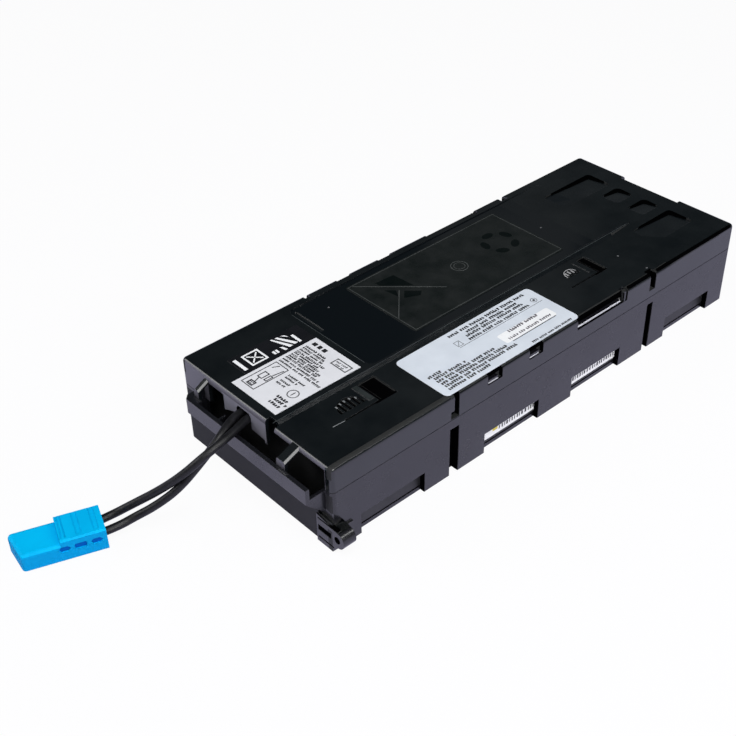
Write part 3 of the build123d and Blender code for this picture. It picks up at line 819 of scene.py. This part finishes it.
def scoop_shades():
    """Painted shade over the deep walls of the four scoops, and on a strip of the sloping floor
    below them.
    """
    for number, (x, y, radius, depth) in enumerate(SCOOPS):
        run, wide = x[1] - x[0], y[1] - y[0]
        corner_x, corner_y = x[1] - radius, y[1] - radius
        # The path follows the far wall, the corner and the end wall. Each of its points has the
        # direction that the wall backs on to, and how much of the full width the strip has.
        path = [(corner_x - run * 0.78 * (1 - k / 6), y[1], 0.0, 1.0, k / 6) for k in range(7)]
        for k in range(1, 6):
            out_x, out_y = math.sin(math.radians(15 * k)), math.cos(math.radians(15 * k))
            path.append((corner_x + radius * out_x, corner_y + radius * out_y, out_x, out_y, 1.0))
        path += [(x[1], corner_y - wide * 0.62 * k / 4, 1.0, 0.0, 1 - k / 4) for k in range(5)]
        rings = []
        for px, py, out_x, out_y, swell in path:
            width, lap = 0.4 + 2.9 * swell ** 0.6, -0.1 - 0.4 * swell
            ring = []
            # The section lies on the floor, then on the deck. Each of its points has its distance
            # from the wall, the scoop's depth there and the height over that surface.
            for inset, fallen, lift in (
                (0.02, depth, -0.02), (width, depth, -0.02), (width, depth, 0.05),
                (0.10, depth, 0.05), (0.10, 0.0, 0.03), (lap, 0.0, 0.03), (lap, 0.0, -0.02),
                (0.02, 0.0, -0.02),
            ):
                at_x, at_y = px - out_x * inset, py - out_y * inset
                slope = 1.0 + (at_x - x[1]) / (2 * run) + (at_y - y[1]) / (2 * wide)
                ring.append((at_x, at_y, DECK_Z - fallen * slope + lift))
            rings.append(ring)
        mesh = bmesh.new()
        add_solid(mesh, rings)
        add_piece("scoop_%d_shade" % (number + 1), mesh, painted_shade_black)


def edge_shades():
    """Painted shade keeps the deck's long rounded edges black from the long notch to the far end.
    """
    runs = ((79.0, 105.4), (113.6, 208.5))
    turns = [math.radians(14 + 54 * step / 7) for step in range(8)]
    for side, word in SIDES:
        inner, outer = (
            [
                (side * (EDGE_Y + reach * math.sin(a)), EDGE_Z + reach * math.cos(a))
                for a in turns
            ]
            for reach in (EDGE_RADIUS - 0.02, EDGE_RADIUS + 0.03)
        )
        mesh = bmesh.new()
        for span in runs:
            add_solid(mesh, [[(x, y, z) for y, z in inner + outer[::-1]] for x in span])
        add_piece("edge_shade_%s" % word, mesh, painted_shade_black)


def painted_highlight_lines():
    """Painted highlights: the light lines that the ridge and the panel's border show along their
    upper edges.
    """
    shine = Print(DECK_Z, 0.03)
    shine.bar((-211.0, 150.0), (-20.9, -20.5))
    shine.bar((-124.6, -124.2), (-13.0, 66.0))
    shine.done("deck_glints", highlight_line_grey)


def key_slot_floor_shades():
    """Painted shade: darker floors in the connector's key slots, on the side that faces the camera.
    """
    middle_z, half, rise = 9.4, 4.15, 2.25
    mesh = bmesh.new()
    for middle, lean in ((28.0, 2.0), (38.6, 0.7), (49.0, 2.0)):
        outline = (
            (middle - half, middle_z), (middle - half + lean, middle_z + rise),
            (middle + half - lean, middle_z + rise), (middle + half, middle_z),
            (middle + half - lean, middle_z - rise), (middle - half + lean, middle_z - rise),
        )
        add_solid(mesh, [[(x, y, z) for x, z in outline] for y in (1.2, 1.78)])
    # The slots are drawn along the connector's own side, from its front corner.
    corner = Matrix.Translation(Vector((-371.1, 43.2, 0.0)) * MM)
    turn = Matrix.Rotation(math.radians(-20), 4, "Z")
    bmesh.ops.transform(mesh, matrix=corner @ turn, verts=mesh.verts)
    add_piece("key_slot_floor_shades", mesh, blue_painted_shade)


def wiring_print():
    """The white label beside the leads: a small diagram, fine rows and two boxes."""
    ink = Print(WIRING_TOP)
    # The diagram.
    ink.frame((-198.8, -167.8), (15.4, 29.3), 0.75)
    ink.frame((-197.3, -192.3), (19.6, 25.7), 0.9)
    ink.frame((-187.6, -180.0), (21.0, 26.0), 0.8)
    ink.frame((-187.2, -180.4), (16.6, 19.6), 0.8)
    ink.line((-174.4, 26.1), (-169.5, 23.3), 0.8)
    ink.line((-170.9, 16.9), (-180.0, 18.4), 0.8)
    ink.line((-192.3, 22.0), (-187.6, 23.5), 0.8)
    ink.row((-196.6, 24.8), TOWARDS_MINUS_Y, 4.0, 1.5, seed=3)
    ink.row((-194.6, 24.8), TOWARDS_MINUS_Y, 4.0, 1.5, seed=4)
    # Three blocks as a heading, over the rows.
    for span in ((13.9, 17.6), (19.2, 22.6), (24.2, 28.2)):
        ink.bar((-137.5, -133.9), span)
    margin = 29.2
    ends = (
        (-141.5, 7.1), (-144.1, 7.4), (-146.8, 6.7), (-149.6, 1.1), (-152.0, 4.2), (-154.4, 0.9),
        (-156.8, -2.9), (-159.2, -2.1), (-162.2, -8.6), (-165.2, -12.6),
    )
    ink.rows_across([(x, margin, end) for x, end in ends], 2.0, 10, BOLD, 0.9)
    # The boxed note.
    ink.frame((-142.3, -134.6), (-13.1, 2.5), 0.9)
    ink.row((-138.4, 0.6), TOWARDS_MINUS_Y, 11.0, 1.8, seed=31)
    ink.row((-141.2, -1.4), TOWARDS_MINUS_Y, 7.6, 1.8, seed=32)
    # The rows beside the diagram, the ring and the rows at the label's near end.
    rows = ((-171.5, 11.5, -5.0), (-174.3, 11.4, -0.5), (-178.5, 11.3, 3.0), (-181.8, 11.7, 3.7))
    ink.rows_across(rows, 1.9, 40, BOLD, 0.9)
    ink.ring((-182.4, -6.6), 4.4, 0.7)
    ink.bar((-184.6, -180.2), (-7.0, -6.2))
    rows = ((-191.0, -0.5, -9.6), (-194.4, -2.0, -12.4), (-198.2, -1.0, -12.0))
    ink.rows_across(rows, 2.6, 50, BOLD, 1.2)
    ink.done("wiring_label_print", ink_black)


def disposal_print():
    """The dark label: white bars, a crossed square and slanted stripes."""
    ink = Print(WIRING_TOP)
    ink.bar((-190.0, -187.3), (35.8, 50.4))
    ink.frame((-182.8, -168.6), (36.4, 50.6), 1.5)
    ink.line((-180.0, 39.2), (-171.4, 47.8), 1.1)
    ink.line((-180.0, 47.8), (-171.4, 39.2), 1.1)
    ink.bar((-163.5, -161.7), (36.2, 40.2))
    ink.bar((-160.9, -159.1), (36.2, 40.2))
    for outline in (
        ((-155.8, 51.6), (-154.5, 51.8), (-147.3, 36.3), (-150.3, 36.0)),
        ((-152.2, 51.2), (-150.0, 51.2), (-142.4, 36.7), (-145.4, 36.5)),
        ((-147.4, 50.8), (-144.7, 49.9), (-143.4, 46.0)),
        ((-156.2, 40.6), (-154.1, 39.7), (-152.7, 35.2), (-154.9, 35.3)),
    ):
        ink.shape(outline)
    ink.bar((-141.6, -139.4), (36.0, 46.4))
    ink.done("disposal_label_print", print_white)


def info_print():
    """The silver label: rows of fine print, two rules, a small box and a ring."""
    ink = Print(INFO_TOP)
    rows = (
        (-30.8, -60.7, 17.2), (-34.9, -46.7, 4.1), (-38.5, -50.4, 7.8), (-42.7, -51.7, 9.1),
        (-55.1, -104.3, -91.1), (-58.6, -101.7, -72.4), (-62.1, -102.5, -47.0),
        (-65.7, -102.0, -38.4), (-69.3, -101.9, -31.8), (-73.0, -102.4, -62.9),
    )
    ink.rows_along(rows, 2.8, 60, CLOSE, 1.2)
    ink.bar((-63.6, 21.9), (-45.45, -45.1))
    ink.frame((-63.5, -58.3), (-44.0, -38.2), 0.35)
    ink.line((-62.6, -43.2), (-59.2, -39.0), 0.35)
    ink.ring((17.6, -40.9), 2.7, 0.4)
    ink.bar((16.6, 18.6), (-41.9, -39.9))
    ink.bar((-30.8, 14.5), (-65.5, -64.8))
    ink.row((-22.0, -76.4), TOWARDS_PLUS_X, 40.8, 2.0, seed=90, style=LOOSE)
    ink.done("info_label_print", ink_black)


def info_inset():
    """The white field in the silver label, with two rows."""
    field = 0.02
    white = Print(INFO_TOP, field)
    white.shape(rounded_bar((-35.8, 16.8), (-64.6, -53.6), 1.8))
    white.done("info_label_inset", print_white)
    ink = Print(INFO_TOP + field, 0.03)
    ink.row((-25.0, -56.4), TOWARDS_PLUS_X, 29.4, 2.8, seed=95, style=INSET_BOLD)
    ink.row((-31.0, -62.6), TOWARDS_PLUS_X, 43.0, 2.4, seed=96, style=INSET_LIGHT)
    ink.done("info_label_inset_print", ink_grey)


def panel_relief():
    """Fine raised lines and darker fields in the dark sheet on the panel."""
    lines = Print(STICKER_TOP, 0.05)
    lines.frame((-71.6, 85.3), (-9.3, 64.8), 0.5)
    lines.line((-67.5, 63.8), (-16.8, 14.9), 0.7)
    lines.line((-45.4, 36.3), (-72.0, 8.3), 0.7)
    lines.ring((10.5, 28.5), 7.0, 0.6, parts=40)
    lines.ring((10.5, 28.5), 4.6, 0.4, parts=32)
    lines.done("panel_sheet_lines", sheet_line)
    fields = Print(STICKER_TOP, 0.02)
    fields.shape([(-52.3, 55.4), (-34.6, 54.3), (-33.0, 33.0), (-52.0, 50.6)])
    fields.shape([(-53.88, 43.68), (-47.4, 37.68), (-51.72, 30.24)])
    fields.shape(
        [(-43.1625, 33.0575), (-33.9225, 24.0375), (-38.5425, 20.1875), (-49.8725, 26.0175)]
    )
    # Five oval patches around a centre.
    patches, centre = 5, Vector((58.0, 31.5))
    for k in range(patches):
        turn = Matrix.Rotation(math.radians(20 + 360 / patches * k), 2)
        oval = [Vector((12.5 + 3.4 * x, 5.6 * y)) for x, y in circle((0.0, 0.0), 1.0, 16)]
        fields.shape([centre + turn @ point for point in oval])
    fields.done("panel_sheet_fields", sheet_field)


def deck_specks():
    """Small round marks that the mould's pins leave in the decks and in the panel."""
    radius, step = 0.8, 0.45
    for group, top in (
        (((116.0, 54.0), (98.2, 23.7)), PANEL_Z),
        (((81.5, 1.1),), PANEL_Z),
        (((138.1, -55.3), (110.0, -45.0), (112.4, -70.7)), LOW_DECK_Z + 0.02),
        (((-98.0, 55.6),), PANEL_Z),
    ):
        spots = Print(top, 0.06)
        for x, y in group:
            turns = [step * k for k in range(14)]
            spots.shape([(x + radius * math.cos(a), y + radius * math.sin(a)) for a in turns])
        name = "deck_pin_marks_%d_%d" % (round(group[0][0]), round(group[0][1]))
        spots.done(name, speck_grey)


hook_noses()
block_prints()
latch_highlights()
side_hollow_shades()
latch_hollow_shades()
lug_hollow_shades()
scoop_shades()
edge_shades()
painted_highlight_lines()
key_slot_floor_shades()
wiring_print()
disposal_print()
info_print()
info_inset()
panel_relief()
deck_specks()

# The stage, in metres. The camera was fitted to the photograph's edges.
LENS = 60.03
CAMERA_PLACE = Vector((-0.565170, -0.522263, 0.579335))
CAMERA_HEADING, CAMERA_TILT, CAMERA_ROLL = -0.716994, 0.920339, -0.0270496
FLOOR_REACH = 6.0
FLOOR_Z = -0.0004
WHITE = (1.0, 1.0, 1.0)


def camera():
    """The photograph's view."""
    data = bpy.data.cameras.new("camera")
    data.sensor_width = 36.0
    data.lens = LENS
    data.clip_start = 0.01
    data.clip_end = 50.0
    made = bpy.data.objects.new("camera", data)
    bpy.context.scene.collection.objects.link(made)
    made.matrix_world = (
        Matrix.Translation(CAMERA_PLACE)
        @ Matrix.Rotation(CAMERA_HEADING, 4, "Z")
        @ Matrix.Rotation(CAMERA_TILT, 4, "X")
        @ Matrix.Rotation(CAMERA_ROLL, 4, "Z")
    )
    bpy.context.scene.camera = made


def floor():
    """A pale floor: near white to the camera, with the part's shadow, and cool in reflections."""
    mesh = bpy.data.meshes.new("floor")
    r = FLOOR_REACH
    corners = [(x, y, FLOOR_Z) for x, y in ((-r, -r), (r, -r), (r, r), (-r, r))]
    mesh.from_pydata(corners, [], [(0, 1, 2, 3)])
    made = bpy.data.objects.new("floor", mesh)
    bpy.context.scene.collection.objects.link(made)
    shader = Shader("floor_white")
    shader.set(Base_Color=(0.83, 0.81, 0.94), Roughness=0.8, Specular_IOR_Level=0.0)
    path = shader.add("ShaderNodeLightPath").outputs
    seen = shader.glow(WHITE, 1.0)
    mirrored = shader.glow((0.68, 0.66, 1.0), 0.90)
    base = shader.surface.outputs["BSDF"]
    base = shader.mixed(path["Is Camera Ray"], 0.94, base, seen)
    base = shader.mixed(path["Is Transmission Ray"], 0.86, base, seen)
    base = shader.mixed(path["Is Glossy Ray"], 0.45, base, mirrored)
    shader.link(base, shader.out.inputs["Surface"])
    mesh.materials.append(shader.material)


def world():
    """White where the camera looks. For light and reflections, pale low down and dim above."""
    made = bpy.data.worlds.new("studio")
    made.use_nodes = True
    studio = Nodes(made.node_tree)
    height = studio.add("ShaderNodeSeparateXYZ")
    studio.link(studio.add("ShaderNodeTexCoord").outputs["Generated"], height.inputs[0])
    dimming = studio.colours(
        height.outputs["Z"],
        [
            (0.0, (0.36, 0.36, 0.40)),
            (0.25, (0.10, 0.11, 0.12)),
            (0.50, (0.026, 0.035, 0.036)),
            (1.0, (0.026, 0.033, 0.034)),
        ],
    )
    white, room = (studio.add("ShaderNodeBackground") for _ in range(2))
    white.inputs["Color"].default_value = (*WHITE, 1.0)
    studio.link(dimming, room.inputs["Color"])
    seen = studio.add("ShaderNodeLightPath").outputs["Is Camera Ray"]
    both = studio.mixed(seen, 1.0, room.outputs["Background"], white.outputs["Background"])
    studio.link(both, studio.add("ShaderNodeOutputWorld").inputs["Surface"])
    bpy.context.scene.world = made


def lamp(name, place, target, size, power):
    """A rectangular softbox that looks at its target."""
    data = bpy.data.lights.new(name, "AREA")
    data.shape = "RECTANGLE"
    data.size, data.size_y = size
    data.energy = power
    made = bpy.data.objects.new(name, data)
    bpy.context.scene.collection.objects.link(made)
    made.location = place
    aim = Vector(target) - Vector(place)
    made.rotation_euler = aim.to_track_quat("-Z", "Y").to_euler()


camera()
floor()
world()
MIDDLE = (0.0, 0.0, 0.03)
lamp("key", (-0.75, -0.7, 2.1), MIDDLE, (1.3, 1.3), 27.0)
lamp("front", (-0.35, -1.5, 1.0), MIDDLE, (1.2, 0.8), 17.0)
lamp("left", (-1.5, 1.1, 1.2), MIDDLE, (1.4, 0.8), 14.0)
# Two small lamps draw the light on the ridge and on the panel's sheet.
lamp("rim", (0.30, -0.62, 0.78), (-0.10, -0.08, 0.07), (0.26, 0.20), 1.1)
lamp("sheen", (0.66, 0.56, 0.78), (-0.05, -0.06, 0.07), (0.24, 0.50), 0.03)
bpy.context.scene.view_settings.view_transform = "Standard"
